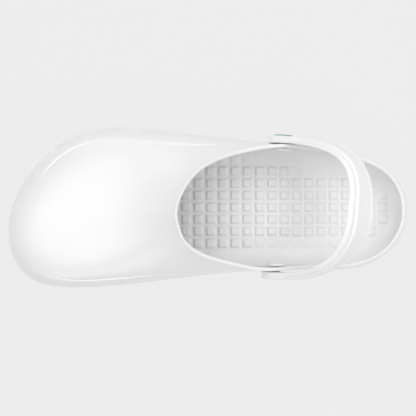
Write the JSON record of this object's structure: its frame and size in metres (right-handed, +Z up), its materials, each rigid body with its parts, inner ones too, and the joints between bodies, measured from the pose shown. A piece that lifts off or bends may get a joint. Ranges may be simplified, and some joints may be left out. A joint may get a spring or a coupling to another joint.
{
  "type": "work clog",
  "caption": "Closed-toe moulded foam work clog for the right foot, with vent slots low on the outer side, a footbed of square pads and a heel strap on rivets.",
  "frame": {"origin": "middle of the overall box on the floor plane", "axes": "+X towards the heel along the shoe's length, +Y towards the outer (lateral) side of the right foot, +Z up"},
  "size_m": [0.2876, 0.1155, 0.1116],
  "materials": {
    "white_foam": "fine satin moulded foam",
    "sole_foam": "matt moulded foam",
    "footbed_foam": "matt moulded foam",
    "white_plastic": "satin",
    "teal_plastic": "glossy"
  },
  "bodies": {
    "root": {"sole": "sole_foam", "upper": "white_foam", "footbed": "footbed_foam", "heel_strap": "white_foam", "rivet_stud_lateral": "white_plastic", "rivet_stud_medial": "white_plastic", "rivet_cap_lateral": "white_plastic", "rivet_cap_medial": "white_plastic", "rivet_badge": "teal_plastic"}
  },
  "joints": []
}
